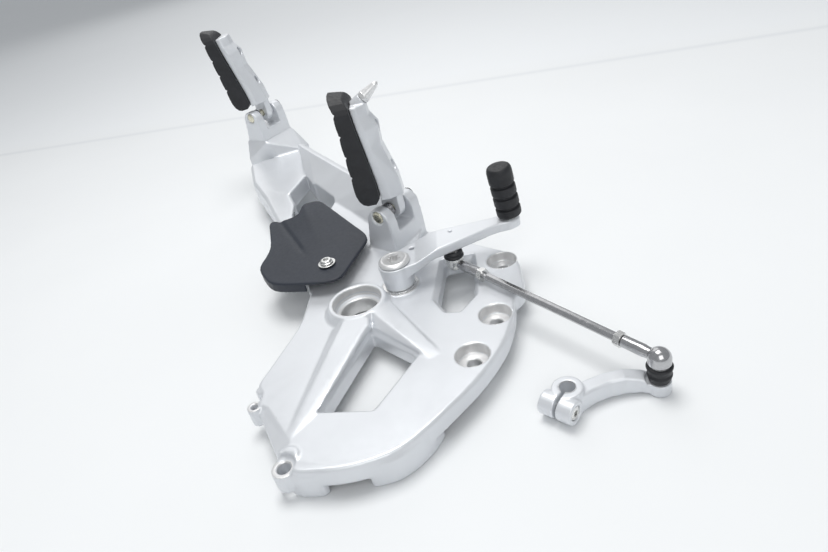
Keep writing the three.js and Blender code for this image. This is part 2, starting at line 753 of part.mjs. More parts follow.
// Coil spring about the pin, with a short straight end that rests on the clevis floor.
function pegSpring() {
  const turns = 4;
  const coil = { r: 6, wire: 0.8, from: -10.6, to: -4.4 };
  const points = [];
  const steps = turns * 9;
  for (let i = 0; i <= steps; i++) {
    const a = (2 * Math.PI * i) / 9;
    const y = THREE.MathUtils.lerp(coil.from, coil.to, i / steps);
    points.push(vec(coil.r * Math.cos(a), y, coil.r * Math.sin(a)));
  }
  points.unshift(vec(coil.r, coil.from, -9));
  const section = new THREE.Shape(
    Array.from({ length: 5 }, (_, i) => {
      const a = (2 * Math.PI * i) / 5;
      return new THREE.Vector2(coil.wire * Math.cos(a), coil.wire * Math.sin(a));
    }),
  );
  const extrudePath = new THREE.CatmullRomCurve3(points);
  const options = { extrudePath, steps: steps + 4, bevelEnabled: false };
  return solid(new THREE.ExtrudeGeometry(section, options));
}

const pegWasher = () => cut(bar(0, 0, -10.8, -9.4, 7), bar(0, 0, -12, -8, PIN.holeR));

// ---------------------------------------------------------------- gear lever

const LEVER = {
  padTop: 1.4,
  foot: 2.4,
  bossTop: 24,
  armBottom: 20.5,
  armTop: 29.5,
  bossR: 14.6,
  bossFootR: 12.9,
  bushR: 9,
};
const LEVER_OUTLINE = [
  [44, -3, 6],
  [78, 9.5, 20],
  [98, 18, 20],
  [128, 31.5, 8],
  [139, 31.5, 7],
  [148, 36, 7],
  [148, 46, 7],
  [138, 50.5, 7],
  [128, 46, 8],
  [101, 44, 20],
  [56, 40.5, 12],
  [40, 24, 6],
];

function gearLever() {
  const [px, py] = LEVER_PIVOT;
  const boss = disc(px, py, LEVER.foot, LEVER.bossTop, LEVER.bossFootR, LEVER.bossR, 32);
  const arm = prism(roundedShape(LEVER_OUTLINE), LEVER.armBottom, LEVER.armTop, 1.4);
  const wedge = hull([
    ...circle(px, py, 12, LEVER.bossR - 1.5, 16),
    ...circle(px, py, LEVER.bossTop, LEVER.bossR - 0.5, 16),
    [60, 4, 18.5],
    [74, 9, LEVER.armBottom + 1],
    [74, 9, LEVER.armTop - 2],
    [72, 42, LEVER.armBottom + 1],
    [72, 42, LEVER.armTop - 2],
    [56, 39, 20],
    [56, 39, 24],
  ]);
  const blunt = disc(px, py, LEVER.bossTop, 60, LEVER.bossR + 1.2, LEVER.bossR + 1.2, 32);
  const rampCut = hull([
    [20, -30, LEVER.bossTop],
    [20, 70, LEVER.bossTop],
    [20, -30, 50],
    [20, 70, 50],
    [56, -30, LEVER.bossTop],
    [56, 70, LEVER.bossTop],
    [76, -30, LEVER.armTop],
    [76, 70, LEVER.armTop],
    [76, -30, 50],
    [76, 70, 50],
  ]);
  const [bx, by] = LEVER_BALL;
  return cut(
    union(boss, arm, wedge),
    blunt,
    rampCut,
    disc(px, py, -5, 60, LEVER.bushR + GAP, LEVER.bushR + GAP, 28),
    disc(bx, by, 10, LEVER.armTop - 2.5, 3.3, 3.3, 16),
    disc(53, 27.5, 10, 60, 2.4, 2.4, 12),
    disc(87.7, 34.5, LEVER.armTop - 4, 60, 1.5, 1.5, 10),
    disc(LEVER_END[0], LEVER_END[1], 10, 60, 5 + GAP, 5 + GAP, 16),
    rod([50, -3, 12.5], [70, -12, 12.5], 3.2, 3.2, 12),
    box(60, 84, 20, 34, 10, LEVER.armBottom + 4),
    box(100, 126, 33, 41, 10, LEVER.armBottom + 4),
  );
}

const toeTilt = THREE.MathUtils.degToRad(-4.7);
const TOE = { length: 47, r: 10.6, coreR: 5, seat: 30.5, grooves: [10, 20.3, 30.6] };

function toeRubber() {
  const profile = [
    [5.4, 1],
    [9.4, 1],
    [TOE.r, 2.4],
  ];
  for (const z of TOE.grooves) {
    profile.push([TOE.r, z - 1.4], [TOE.r - 1.6, z - 0.8], [TOE.r - 1.6, z + 0.8], [TOE.r, z + 1.4]);
  }
  profile.push([TOE.r, TOE.length - 4], [TOE.r - 1.8, TOE.length - 0.8], [6, TOE.length], [0, TOE.length]);
  profile.push([0, TOE.length - 4], [5.4, TOE.length - 4], [5.4, 1]);
  return turned(0, 0, profile, 20);
}

function toePin() {
  const stub = disc(0, 0, -9, 0.5, 4.4, 4.4, 16);
  const collar = disc(0, 0, 0, 0.8, 8, 8, 24);
  return union(stub, collar, disc(0, 0, 0.5, 41, 5, 5, 20));
}

const leverBush = () =>
  cut(
    disc(...LEVER_PIVOT, LEVER.foot, LEVER.bossTop + 0.3, LEVER.bushR, LEVER.bushR, 28),
    disc(...LEVER_PIVOT, 0, 40, 7.35, 7.35, 28),
  );

const leverWasher = () =>
  cut(
    disc(...LEVER_PIVOT, LEVER.padTop + 0.2, LEVER.foot - 0.2, 15, 15, 24),
    disc(...LEVER_PIVOT, 0, 10, 6, 6, 28),
  );

function leverScrew() {
  const seat = LEVER.bossTop + 0.6;
  const body = turned(...LEVER_PIVOT, [
    [0, -14],
    [5, -14],
    [5, LEVER.padTop + 0.2],
    [5.6, LEVER.padTop + 0.2],
    [5.6, LEVER.foot + 0.2],
    [7, LEVER.foot + 0.2],
    [7, seat],
    [13.4, seat],
    [13.4, seat + 1.8],
    [11.4, seat + 3.4],
    [0, seat + 3.4],
  ], 24);
  const lobes = new THREE.Shape();
  const drive = { r: 5.2, wave: 0.75 };
  for (let i = 0; i <= 24; i++) {
    const a = (2 * Math.PI * i) / 24;
    const r = drive.r + drive.wave * Math.cos(6 * a);
    if (i === 0) lobes.moveTo(r, 0);
    else if (i < 24) lobes.lineTo(r * Math.cos(a), r * Math.sin(a));
  }
  lobes.closePath();
  const recess = prism(lobes, seat - 1.6, seat + 10).translate([...LEVER_PIVOT, 0]);
  return cut(body, recess);
}

// ---------------------------------------------------------------- link rod and selector arm

const LINK_DIRECTION = vec(...ARM_BALL).sub(vec(...LEVER_BALL)).normalize();
const LINK_LENGTH = vec(...ARM_BALL).distanceTo(vec(...LEVER_BALL));
const onLink = (distance) => vec(...LEVER_BALL).addScaledVector(LINK_DIRECTION, distance).toArray();
const LINK = {
  leverSleeve: 30,
  armSleeve: 27,
  nutLength: 5,
  sleeveR: 4.4,
  nutR: 5.7,
  rodR: 3.3,
  threadR: 2.5,
};

// Socket of a ball joint with its sleeve; toStud is +1 or -1, the side of the stud along Z.
function rodEnd(centre, toStud, sleeveFrom, sleeveTo) {
  const [x, y, z] = centre;
  const end = onLink(sleeveTo);
  const start = onLink(sleeveFrom);
  const z0 = toStud > 0 ? z : z - 5.2;
  const body = union(
    ball(x, y, z, BALL.housingR, 16, 8),
    disc(x, y, z0, z0 + 5.2, BALL.housingR, BALL.housingR, 16),
    rod(start, end, LINK.sleeveR, LINK.sleeveR, 14),
  );
  const mouthZ = toStud > 0 ? [z, z + 12] : [z - 12, z];
  const boreFrom = onLink(LINK.leverSleeve - 13);
  const boreTo = onLink(LINK_LENGTH - LINK.armSleeve + 13);
  return cut(
    body,
    ball(x, y, z, BALL.socketR),
    disc(x, y, mouthZ[0], mouthZ[1], BALL.mouthR, BALL.mouthR, 12),
    toStud > 0 ? disc(x, y, z + 5.2, z + 20, 12) : disc(x, y, z - 20, z - 5.2, 12),
    rod(boreFrom, boreTo, LINK.threadR + GAP, LINK.threadR + GAP, 12),
  );
}

// Ball, neck, collar and threaded shank of a stud that points along Z by its sign.
function ballStud([x, y, z], side, reach, shank) {
  const at = (a, b, r, top = r, sides = 12) =>
    side > 0 ? disc(x, y, z + a, z + b, r, top, sides) : disc(x, y, z - b, z - a, top, r, sides);
  const neck = at(2, reach, 2.9);
  const collar = at(reach - 2.4, reach, 5.4, 5.4, 6);
  return union(ball(x, y, z, BALL.r), neck, collar, at(reach - 1, reach + shank, 3));
}

// Rubber boot between a socket and the collar of its stud.
function ballBoot([x, y, z], side, reach) {
  const lower = 5.5;
  const upper = reach - 0.4;
  const middle = (lower + upper) / 2;
  const outside = [
    [7, lower],
    [7.8, lower + 0.8],
    [6.8, middle - 0.5],
    [7.5, middle + 1],
    [6.3, upper],
  ];
  const inside = [
    [5.8, upper],
    [6.4, middle + 1],
    [6, middle - 0.5],
    [6, lower],
  ];
  const loop = [...outside, ...inside, outside[0]];
  const profile = side > 0 ? loop : loop.map(([r, h]) => [r, -h]).reverse();
  return turned(x, y, profile.map(([r, h]) => [r, h + z]), 16);
}

const jamNut = (from) =>
  cut(
    rod(onLink(from), onLink(from + LINK.nutLength), LINK.nutR, LINK.nutR, 6),
    rod(onLink(from - 2), onLink(from + LINK.nutLength + 2), LINK.threadR + GAP, LINK.threadR + GAP, 14),
  );

function linkRod() {
  const start = LINK.leverSleeve + LINK.nutLength + 4;
  const end = LINK_LENGTH - LINK.armSleeve - LINK.nutLength - 1;
  const thread = rod(
    onLink(LINK.leverSleeve - 12),
    onLink(LINK_LENGTH - LINK.armSleeve + 12),
    LINK.threadR,
    LINK.threadR,
  );
  const barrel = rod(onLink(start), onLink(end), LINK.rodR, LINK.rodR, 6);
  return union(thread, barrel);
}

const CLAMP = {
  r: 10.4,
  top: -6.5,
  boreR: 5.5,
  pinchR: 8.5,
  pinchZ: -15.4,
  pinchOut: 10.8,
  pinchHalf: 12,
  slit: 2.2,
};
const CLAMP_SLIT = new THREE.Vector2(-0.66, -0.75).normalize(); // from the bore through the slit
const CLAMP_SCREW = new THREE.Vector2(-CLAMP_SLIT.y, CLAMP_SLIT.x); // axis of the pinch screw
const ARM = { height: 15, halfWidth: 5.8, endR: 7.6, endTop: -16 };

const clampPoint = (out, along, z) => [
  ARM_CLAMP[0] + CLAMP_SLIT.x * out + CLAMP_SCREW.x * along,
  ARM_CLAMP[1] + CLAMP_SLIT.y * out + CLAMP_SCREW.y * along,
  z,
];

function selectorArm() {
  const hub = disc(...ARM_CLAMP, BASE_Z, CLAMP.top, CLAMP.r, CLAMP.r, 28);
  const pinch = rod(
    clampPoint(CLAMP.pinchOut, -CLAMP.pinchHalf, CLAMP.pinchZ),
    clampPoint(CLAMP.pinchOut, CLAMP.pinchHalf, CLAMP.pinchZ),
    CLAMP.pinchR,
    CLAMP.pinchR,
    20,
  );
  const end = disc(ARM_BALL[0], ARM_BALL[1], BASE_Z, ARM.endTop, ARM.endR, ARM.endR, 24);
  const bow = new THREE.QuadraticBezierCurve(
    new THREE.Vector2(ARM_CLAMP[0] + 3, ARM_CLAMP[1] - 3),
    new THREE.Vector2(184, -118),
    new THREE.Vector2(ARM_BALL[0], ARM_BALL[1]),
  );
  const sections = [0, 1, 2, 3, 4, 5].map((i) => {
    const t = i / 5;
    const p = bow.getPoint(t);
    const n = bow.getTangent(t);
    const side = [-n.y * ARM.halfWidth, n.x * ARM.halfWidth];
    const top = BASE_Z + ARM.height - 6 * Math.max(0, t - 0.7) / 0.3;
    const rise = t > 0.12 && t < 0.82 ? 1.5 : 0;
    return [-1, 1].flatMap((s) => [
      [p.x + s * side[0], p.y + s * side[1], BASE_Z + 0.3 + rise],
      [p.x + s * side[0], p.y + s * side[1], top - 1.5],
      [p.x + s * side[0] * 0.75, p.y + s * side[1] * 0.75, top],
    ]);
  });
  const angle = CLAMP_SLIT.angle();
  const blade = new THREE.BoxGeometry(40, CLAMP.slit, 60).translate(20, 0, 0).rotateZ(angle);
  const slit = solid(blade).translate([...ARM_CLAMP, 0]);
  const pinchAt = (along) => clampPoint(CLAMP.pinchOut, along, CLAMP.pinchZ);
  return cut(
    union(hub, pinch, end, chain(sections)),
    disc(...ARM_CLAMP, -60, 20, CLAMP.boreR, CLAMP.boreR, 24),
    slit,
    disc(ARM_BALL[0], ARM_BALL[1], ARM.endTop, 20, 9.4, 9.4, 24),
    rod(pinchAt(-20), pinchAt(20), 3.35, 3.35, 14),
    rod(pinchAt(7), pinchAt(20), 5.3, 5.3, 16),
    disc(ARM_BALL[0], ARM_BALL[1], -60, 20, 3.3, 3.3, 16),
  );
}

function clampScrew() {
  const at = (d) => clampPoint(CLAMP.pinchOut, d, CLAMP.pinchZ);
  const head = rod(at(7.3), at(11.8), 4.9, 4.9, 16);
  return cut(union(rod(at(-10.5), at(7.6), 3, 3), head), rod(at(9.4), at(14), 2.4, 2.4, 6));
}

// ---------------------------------------------------------------- assembly

const assembly = new THREE.Group();

assembly.add(
  piece("hanger_casting", "silver", hangerCasting()),
  piece("heel_guard", "plastic", heelGuard()),
);
const screwSeat = guardTop(HEEL_SCREW[1]);
const washer = cut(
  disc(...HEEL_SCREW, screwSeat + 0.5, screwSeat + 1.7, 8),
  disc(...HEEL_SCREW, 0, 40, 3.3, 3.3, 16),
);
assembly.add(
  piece("heel_guard_washer", "steel", washer),
  piece(
    "heel_guard_screw",
    "steel",
    screwWithHead(...HEEL_SCREW, screwSeat + 2, HEEL_SCREW_SIZE),
  ),
);

function addPeg(prefix, [x, y, z], lean, feeler) {
  const hinge = new THREE.Group();
  hinge.position.set(x, y, z);
  hinge.rotation.z = PIN_TURN;
  hinge.add(
    piece(`${prefix}_peg_pin`, "steel", pegPin()),
    piece(`${prefix}_peg_pin_clip`, "darkSteel", pinClip()),
  );
  hinge.add(
    feeler
      ? piece(`${prefix}_peg_spring`, "darkSteel", pegSpring())
      : piece(`${prefix}_peg_friction_washer`, "darkSteel", pegWasher()),
  );
  const body = piece(`${prefix}_peg_body`, "silver", pegBody(feeler, lean));
  body.position.set(x, y, z);
  const peg = new THREE.Group();
  peg.position.set(x, y, z);
  peg.rotation.y = lean;
  peg.add(piece(`${prefix}_peg_pad`, "rubber", padSolid()));
  for (const [where, height] of PAD_SCREWS) {
    peg.add(piece(`${prefix}_pad_screw_${where}`, "steel", padScrew(height)));
  }
  if (feeler) peg.add(piece(`${prefix}_feeler_bolt`, "aluminium", feelerBolt()));
  assembly.add(hinge, body, peg);
}

addPeg("rider", RIDER_PIN, 0, true);
addPeg("pillion", PILLION_PIN, PILLION_LEAN, false);

assembly.add(
  piece("gear_lever", "silver", gearLever()),
  piece("lever_bush", "bronze", leverBush()),
  piece("lever_thrust_washer", "steel", leverWasher()),
  piece("lever_pivot_screw", "steel", leverScrew()),
);

const toe = new THREE.Group();
toe.position.set(LEVER_END[0], LEVER_END[1], TOE.seat);
toe.add(piece("toe_peg_pin", "steel", toePin()), piece("toe_peg_rubber", "rubber", toeRubber()));
assembly.add(toe);
toe.rotation.y = toeTilt;

const leverReach = LEVER.armBottom - LEVER_BALL[2] - GAP;
const armReach = ARM_BALL[2] - ARM.endTop - GAP;
assembly.add(
  piece("lever_ball_stud", "steel", ballStud(LEVER_BALL, 1, leverReach, 6)),
  piece("lever_ball_boot", "rubber", ballBoot(LEVER_BALL, 1, leverReach)),
  piece("link_rod_end_lever", "steel", rodEnd(LEVER_BALL, 1, 5.5, LINK.leverSleeve)),
  piece("link_jam_nut_lever", "steel", jamNut(LINK.leverSleeve + GAP)),
  piece("link_rod", "darkSteel", linkRod()),
  piece("link_jam_nut_arm", "steel", jamNut(LINK_LENGTH - LINK.armSleeve - GAP - LINK.nutLength)),
  piece("link_rod_end_arm", "steel", rodEnd(ARM_BALL, -1, LINK_LENGTH - 5.5, LINK_LENGTH - LINK.armSleeve)),
  piece("arm_ball_boot", "rubber", ballBoot(ARM_BALL, -1, armReach)),
  piece("arm_ball_stud", "steel", ballStud(ARM_BALL, -1, armReach, 8)),
  piece("selector_arm", "silver", selectorArm()),
  piece("selector_clamp_screw", "steel", clampScrew()),
);

// Origin: middle of the base of the whole assembly.
const bounds = new THREE.Box3().setFromObject(assembly, true);
const middle = bounds.getCenter(new THREE.Vector3());
assembly.position.set(-middle.x, -middle.y, -bounds.min.z);

export default assembly;
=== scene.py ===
"""Looks of the left-hand footrest hanger: cast hanger with two folding pegs, heel guard and gear linkage.

Lengths are millimetres in the part's own datum (the pivot bore's axis on the plate's outer face) until a
mesh is made; place() turns them into metres in the row frame.
"""

import json
import math

import bpy
import numpy as np
from mathutils import Matrix, Vector


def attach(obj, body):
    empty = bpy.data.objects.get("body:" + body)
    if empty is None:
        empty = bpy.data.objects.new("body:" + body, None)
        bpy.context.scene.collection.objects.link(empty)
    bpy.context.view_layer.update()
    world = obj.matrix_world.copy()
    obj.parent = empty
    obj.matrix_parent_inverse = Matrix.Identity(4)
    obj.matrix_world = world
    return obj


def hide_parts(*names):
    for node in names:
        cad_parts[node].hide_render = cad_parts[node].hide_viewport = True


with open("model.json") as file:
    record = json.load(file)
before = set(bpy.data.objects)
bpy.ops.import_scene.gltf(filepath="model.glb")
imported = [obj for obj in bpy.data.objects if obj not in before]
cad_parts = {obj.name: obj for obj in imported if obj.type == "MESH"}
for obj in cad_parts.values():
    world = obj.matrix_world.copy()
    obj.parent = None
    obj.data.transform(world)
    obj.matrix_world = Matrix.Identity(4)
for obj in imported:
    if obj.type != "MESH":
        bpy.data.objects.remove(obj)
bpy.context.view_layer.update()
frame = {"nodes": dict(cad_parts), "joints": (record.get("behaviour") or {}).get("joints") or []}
NODES = frame["nodes"]
JOINTS = {j["name"]: j for j in frame["joints"]}

# ------------------------------------------------------------------ dimensions, mm

LEVER_PIVOT = (38.5, 10.0)
pivot = JOINTS["gear_lever_swing"]["pos_m"]
DATUM = Vector((pivot[0] - LEVER_PIVOT[0] / 1000, pivot[1] - LEVER_PIVOT[1] / 1000, 0.025))

PIN_TURN = math.radians(-36.5)
RIDER_PIN = (38.3, 83.0, 39.3)
PILLION_PIN = (-132.7, 359.0, 71.3)
PILLION_LEAN = math.radians(-5.8)
LEVER_BALL = Vector((87.5, 19.3, 8.0))
ARM_BALL = Vector((210.2, -130.2, 3.0))
ARM_CLAMP = (150.5, -133.0)
HEEL_SCREW = (-26.3, 42.2)
LEVER_END = (140.0, 41.0)
TOE_SEAT = 30.5
TOE_TILT = math.radians(-4.7)
BORE = (3.1, -11.9)
BOLT_HOLES = ((126.3, 21.3), (112.9, -51.5), (92.2, -93.8))
SMALL_TAB = (-67.5, -110.0)
LARGE_TAB = (-35.9, -168.0)

LEVER_UNDERSIDE = 20.5
ARM_TOP = -16.0
CLAMP_PINCH_Z = -15.4
CLAMP_PINCH_OUT = 10.8
CLAMP_SLIT = Vector((-0.66, -0.75, 0)).normalized()

LINK_AXIS = (ARM_BALL - LEVER_BALL).normalized()
LINK_LENGTH = (ARM_BALL - LEVER_BALL).length

# A peg: half the length of its pin between the clevis ears, and the back of its pad, which leans from
# PAD_BACK_LOW at PAD_BEND by PAD_LEAN over PAD_RUN of height.
PIN_HALF = 23.0
PAD_SCREWS = (("lower", 40), ("upper", 78))
PAD_BEND = 32.8
PAD_RUN = 68.7
PAD_BACK_LOW = -6.5
PAD_LEAN = -7.0
PAD_SEAT_DEPTH = 5.3
FEELER_START = Vector((-5.2, 0, 100))
FEELER_AXIS = (0.82, 0, 0.574)

TOE_R = 10.6
TOE_GROOVES = (10.0, 20.3, 30.6)


def place(matrix):
    """Millimetres in a local frame, given in the datum's frame, to metres in the row frame."""
    return Matrix.Translation(DATUM) @ Matrix.Scale(0.001, 4) @ matrix


def at(x, y, z=0.0):
    return Matrix.Translation((x, y, z))


def along(origin, direction):
    """A frame at origin whose Z runs along direction."""
    turn = Vector(direction).to_track_quat("Z", "Y").to_matrix().to_4x4()
    return Matrix.Translation(origin) @ turn


def hinge(pin):
    """A peg hinge's frame with its Z along the pin (towards the rear) and X upright."""
    turn = Matrix.Rotation(PIN_TURN, 4, "Z")
    return Matrix.Translation(pin) @ turn @ Matrix.Rotation(math.radians(-90), 4, "X")


def peg_frame(pin, lean):
    return Matrix.Translation(pin) @ Matrix.Rotation(lean, 4, "Y")


def side_bar(pin, lean, height):
    """A frame on a peg at a height above its pin; Z points out of the peg's back."""
    return peg_frame(pin, lean) @ at(0, 0, height) @ Matrix.Rotation(math.radians(90), 4, "Y")


# ------------------------------------------------------------------ materials


def link(tree, a, b):
    tree.links.new(a, b)


class Shader:
    """A Principled material whose colour, roughness and bump come from noise in object space."""

    def __init__(self, name, colour, roughness, metallic=0.0, **settings):
        self.mat = bpy.data.materials.new(name)
        self.mat.use_nodes = True
        self.tree = self.mat.node_tree
        self.bsdf = self.tree.nodes["Principled BSDF"]
        self.bsdf.inputs["Metallic"].default_value = metallic
        for key, value in settings.items():
            self.bsdf.inputs[key.replace("_", " ")].default_value = value
        self.coord = self.add("ShaderNodeTexCoord").outputs["Object"]
        self.colour = colour
        self.roughness = roughness

    def add(self, kind, **values):
        node = self.tree.nodes.new(kind)
        for key, value in values.items():
            if hasattr(node, key):
                setattr(node, key, value)
            else:
                node.inputs[key].default_value = value
        return node

    def noise(self, size_mm, detail=3.0, rough=0.55):
        """Noise whose features are about size_mm across."""
        node = self.add("ShaderNodeTexNoise", Scale=1000.0 / size_mm, Detail=detail, Roughness=rough)
        link(self.tree, self.coord, node.inputs["Vector"])
        return node.outputs["Fac"]

    def ranged(self, value, low, high, start=0.3, end=0.7):
        node = self.add("ShaderNodeMapRange")
        for key, number in (("From Min", start), ("From Max", end), ("To Min", low), ("To Max", high)):
            node.inputs[key].default_value = number
        link(self.tree, value, node.inputs["Value"])
        return node.outputs["Result"]

    def math(self, operation, a, b):
        node = self.add("ShaderNodeMath", operation=operation)
        for socket, value in zip(node.inputs, (a, b)):
            if isinstance(value, (int, float)):
                socket.default_value = value
            else:
                link(self.tree, value, socket)
        return node.outputs["Value"]

    def mix(self, factor, a, b):
        """Colours or colour outputs a and b mixed by a factor output."""
        node = self.add("ShaderNodeMix", data_type="RGBA")
        link(self.tree, factor, node.inputs["Factor"])
        for key, value in (("A", a), ("B", b)):
            socket = [s for s in node.inputs if s.name == key and s.type == "RGBA"][0]
            if isinstance(value, tuple):
                socket.default_value = (*value, 1.0)
            else:
                link(self.tree, value, socket)
        return [s for s in node.outputs if s.type == "RGBA"][0]

    def finish(self, mottle, mottle_mm, rough_span, rough_mm, grain, grain_mm, wear=None, painted_tints=()):
        """Colour varies by mottle, roughness by rough_span, and grain is the bump's height in mm; painted
        tints lay painted light and shade over the colour.
        """
        spread = self.ranged(self.noise(mottle_mm), 0.0, 1.0)
        darker = tuple(c * (1 - mottle) for c in self.colour)
        lighter = tuple(min(1.0, c * (1 + mottle)) for c in self.colour)
        colour = self.mix(spread, darker, lighter)
        rough = self.ranged(
            self.noise(rough_mm),
            self.roughness - rough_span,
            self.roughness + rough_span,
        )
        if wear:
            tint, amount = wear
            geometry = self.add("ShaderNodeNewGeometry")
            edge = self.ranged(geometry.outputs["Pointiness"], 0.0, amount, 0.53, 0.62)
            patchy = self.math("MULTIPLY", edge, self.ranged(self.noise(3.0), 0.2, 1.0))
            colour = self.mix(patchy, colour, tint)
        # Painted light and shade: each tint is mixed over the colour by its factor.
        for factor, tint in painted_tints:
            colour = self.mix(factor, colour, tint)
        link(self.tree, colour, self.bsdf.inputs["Base Color"])
        link(self.tree, rough, self.bsdf.inputs["Roughness"])
        bump = self.add("ShaderNodeBump", Strength=1.0, Distance=grain / 1000)
        link(self.tree, self.noise(grain_mm, detail=4.0), bump.inputs["Height"])
        link(self.tree, bump.outputs["Normal"], self.bsdf.inputs["Normal"])
        return self.mat


# For each finish: Shader's name, colour, roughness, metallic and extra settings.
FINISHES = {
    "silver": (
        ("cast_silver_paint", (0.73, 0.75, 0.78), 0.36, 0.35, {"Coat_Weight": 0.3, "Coat_Roughness": 0.25}),
        (0.03, 40.0, 0.05, 5.0, 0.008, 0.8, ((0.84, 0.85, 0.86), 0.5)),
    ),
    "machined": (
        ("machined_aluminium", (0.80, 0.80, 0.80), 0.36, 0.75, {}),
        (0.04, 6.0, 0.06, 2.0, 0.002, 0.4, None),
    ),
    "zinc": (
        ("zinc_plated_steel", (0.76, 0.76, 0.75), 0.26, 0.95, {}),
        (0.05, 3.0, 0.05, 1.5, 0.001, 0.6, None),
    ),
    "yellow_zinc": (
        ("yellow_zinc_steel", (0.72, 0.69, 0.56), 0.28, 0.95, {}),
        (0.06, 3.0, 0.05, 1.5, 0.001, 0.6, None),
    ),
    "chrome": (
        ("dark_chrome_steel", (0.50, 0.50, 0.51), 0.20, 0.95, {}),
        (0.07, 3.0, 0.05, 1.5, 0.002, 0.6, None),
    ),
    "dark": (
        ("dark_zinc_steel", (0.34, 0.34, 0.35), 0.25, 0.95, {}),
        (0.10, 8.0, 0.06, 1.2, 0.003, 0.5, None),
    ),
    "rubber": (
        ("moulded_rubber", (0.0165, 0.0175, 0.0205), 0.50, 0.0, {"Specular_IOR_Level": 0.45}),
        (0.25, 9.0, 0.08, 2.2, 0.014, 0.5, ((0.06, 0.062, 0.065), 0.4)),
    ),
    "plastic": (
        ("guard_plastic", (0.027, 0.032, 0.044), 0.46, 0.0, {"Specular_IOR_Level": 0.38}),
        (0.06, 25.0, 0.05, 3.0, 0.012, 0.6, ((0.10, 0.105, 0.12), 0.35)),
    ),
    "bronze": (
        ("sintered_bronze", (0.45, 0.32, 0.16), 0.4, 0.9, {}),
        (0.12, 1.5, 0.1, 0.8, 0.006, 0.3, None),
    ),
}


def make_materials():
    made = {}
    for key, ((name, colour, roughness, metallic, settings), (*numbers, wear)) in FINISHES.items():
        made[key] = Shader(name, colour, roughness, metallic, **settings).finish(*numbers, wear=wear)
    return made


MATERIALS = make_materials()

# ------------------------------------------------------------------ pieces


def add_piece(name, mesh, finish, body, *nodes, angle=35):
    """A finished mesh as a piece on a body, standing for the CAD nodes named."""
    obj = bpy.data.objects.new(name, mesh)
    bpy.context.scene.collection.objects.link(obj)
    mesh.materials.clear()
    mesh.materials.append(MATERIALS[finish])
    mesh.shade_smooth()
    mesh.set_sharp_from_angle(angle=math.radians(angle))
    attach(obj, body)
    if nodes:
        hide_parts(*nodes)
    return obj


def soften(node, voxel_mm, rounds, keep=1.0, shape=None):
    """A CAD node's mesh with the small fillets of a casting or moulding, as a new mesh in the row frame."""
    scene = bpy.context.scene
    work = bpy.data.objects.new("work", NODES[node].data.copy())
    scene.collection.objects.link(work)
    remesh = work.modifiers.new("remesh", "REMESH")
    remesh.mode = "VOXEL"
    remesh.voxel_size = voxel_mm / 1000
    smooth = work.modifiers.new("smooth", "SMOOTH")
    smooth.factor = 0.5
    smooth.iterations = rounds
    if keep < 1:
        thin = work.modifiers.new("thin", "DECIMATE")
        thin.ratio = keep
    evaluated = work.evaluated_get(bpy.context.evaluated_depsgraph_get())
    mesh = bpy.data.meshes.new_from_object(evaluated)
    bpy.data.objects.remove(work)
    if shape:
        flat = np.empty(len(mesh.vertices) * 3)
        mesh.vertices.foreach_get("co", flat)
        points = (flat.reshape(-1, 3) - np.array(DATUM)) * 1000
        moved = shape(points) / 1000 + np.array(DATUM)
        mesh.vertices.foreach_set("co", moved.ravel())
        mesh.update()
    return mesh


def fillet(profile, steps=4):
    """Corners of an open [radius, height, blend] outline rounded by their own blend."""
    out = []
    for i, point in enumerate(profile):
        blend = point[2] if len(point) > 2 else 0
        if not blend or i in (0, len(profile) - 1):
            out.append((point[0], point[1]))
            continue
        here = Vector(point[:2])
        before = Vector(profile[i - 1][:2]) - here
        after = Vector(profile[i + 1][:2]) - here
        a = here + before.normalized() * min(blend, before.length * 0.49)
        b = here + after.normalized() * min(blend, after.length * 0.49)
        for k in range(steps + 1):
            t = k / steps
            p = a * (1 - t) ** 2 + here * 2 * t * (1 - t) + b * t * t
            out.append((p.x, p.y))
    return out


def ring_mesh(name, matrix, rings, closed=False):
    """A skin through rings of equal count; open ends are closed by a fan on the axis, or the last ring
    joins the first."""
    count = len(rings[0])
    verts = [p for ring in rings for p in ring]
    faces = []
    total = len(rings)
    for i in range(total if closed else total - 1):
        a, b = i * count, ((i + 1) % total) * count
        for j in range(count):
            k = (j + 1) % count
            faces.append((a + j, a + k, b + k, b + j))
    if not closed:
        for start, flip in ((0, True), ((total - 1) * count, False)):
            ring = range(start, start + count)
            centre = sum((Vector(verts[v]) for v in ring), Vector()) / count
            verts.append(tuple(centre))
            middle = len(verts) - 1
            for j in range(count):
                a, b = start + j, start + (j + 1) % count
                faces.append((b, a, middle) if flip else (a, b, middle))
    mesh = bpy.data.meshes.new(name)
    mesh.from_pydata([tuple(place(matrix) @ Vector(v)) for v in verts], [], faces)
    mesh.validate()
    mesh.update()
    volume = 0.0
    mesh.calc_loop_triangles()
    for t in mesh.loop_triangles:
        a, b, c = (mesh.vertices[v].co for v in t.vertices)
        volume += a.dot(b.cross(c))
    if volume < 0:
        mesh.flip_normals()
    return mesh


def turned(name, matrix, profile, sides=48, closed=False, steps=4, radius=None):
    """A revolved skin. Each profile point is (r, z) or (r, z, blend); radius(angle, r, z) may bend the
    round section into a hexagon, a star or a thread."""
    outline = fillet(profile, steps)
    rings = []
    for r, z in outline:
        ring = []
        for j in range(sides):
            a = 2 * math.pi * j / sides
            rr = radius(a, r, z) if radius else r
            ring.append((rr * math.cos(a), rr * math.sin(a), z))
        rings.append(ring)
    return ring_mesh(name, matrix, rings, closed)


def hexagon(across_corners):
    """Radius rule that cuts a round section down to a hexagon of that corner radius."""
    flat = across_corners * math.cos(math.pi / 6)

    def rule(angle, r, z):
        local = (angle % (math.pi / 3)) - math.pi / 6
        return min(r, flat / math.cos(local))

    return rule


def thread(r, depth, pitch):
    """Radius rule of a screw thread."""

    def rule(angle, radius, z):
        if radius < r * 0.98:
            return radius
        phase = (z / pitch - angle / (2 * math.pi)) % 1.0
        return r - depth * abs(2 * phase - 1)

    return rule


